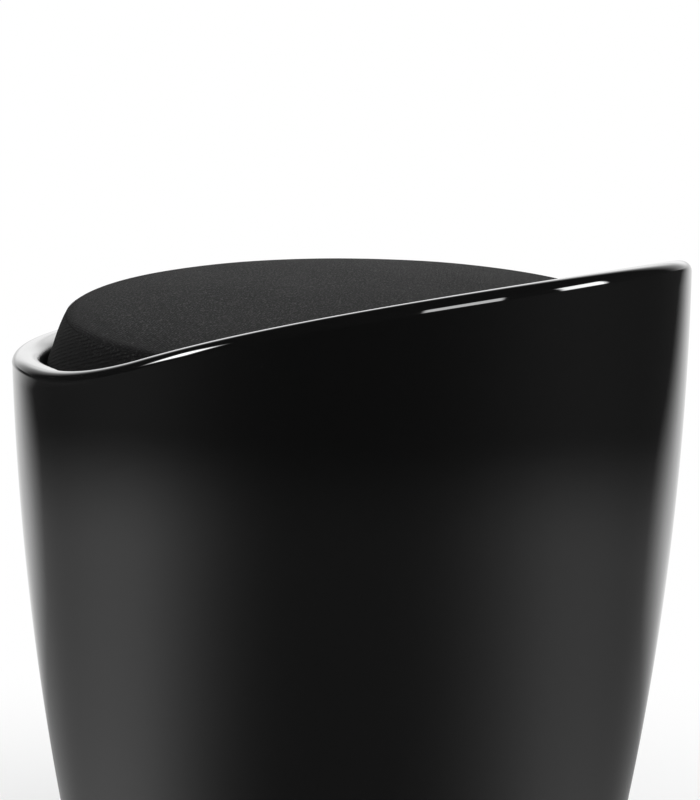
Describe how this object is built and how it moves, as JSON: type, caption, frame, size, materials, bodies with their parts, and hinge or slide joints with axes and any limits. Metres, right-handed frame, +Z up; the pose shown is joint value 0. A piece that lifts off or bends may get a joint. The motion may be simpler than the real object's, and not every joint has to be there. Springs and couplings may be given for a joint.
{
  "type": "low stool",
  "caption": "Low round storage stool: tapered glossy moulded tub with a rim that sweeps up to a high back, and a padded woven-fabric seat that lifts out.",
  "frame": {"origin": "on the floor, on the tub's axis, under the middle of the stool", "axes": "+Z up along the tub's axis; the low side of the rim, the seat's front, faces -Y and the high back faces +Y; the stool is symmetric about the plane X = 0"},
  "size_m": [0.3592, 0.3591, 0.4642],
  "materials": {
    "shell_gloss": "gloss",
    "liner_satin": "satin",
    "foot_rubber": "matte",
    "screw_zinc": "satin",
    "board_ply": "matte",
    "seat_foam": "matte",
    "seat_fabric": "matte",
    "dust_cloth": "matte",
    "staple_wire": "satin"
  },
  "bodies": {
    "tub": {"outer_shell": "shell_gloss", "storage_liner": "liner_satin", "foot_1": "foot_rubber", "foot_2": "foot_rubber", "foot_3": "foot_rubber", "foot_4": "foot_rubber", "foot_screws": "screw_zinc"},
    "seat": {"seat_board": "board_ply", "seat_foam": "seat_foam", "cover_top_panel": "seat_fabric", "cover_side_band": "seat_fabric", "dust_cover": "dust_cloth", "cover_staples": "staple_wire"}
  },
  "joints": [
    {"name": "seat_lift", "type": "slide", "parent": "tub", "child": "seat", "axis": [0, 0, 1], "range_m": [0, 0.16]}
  ]
}
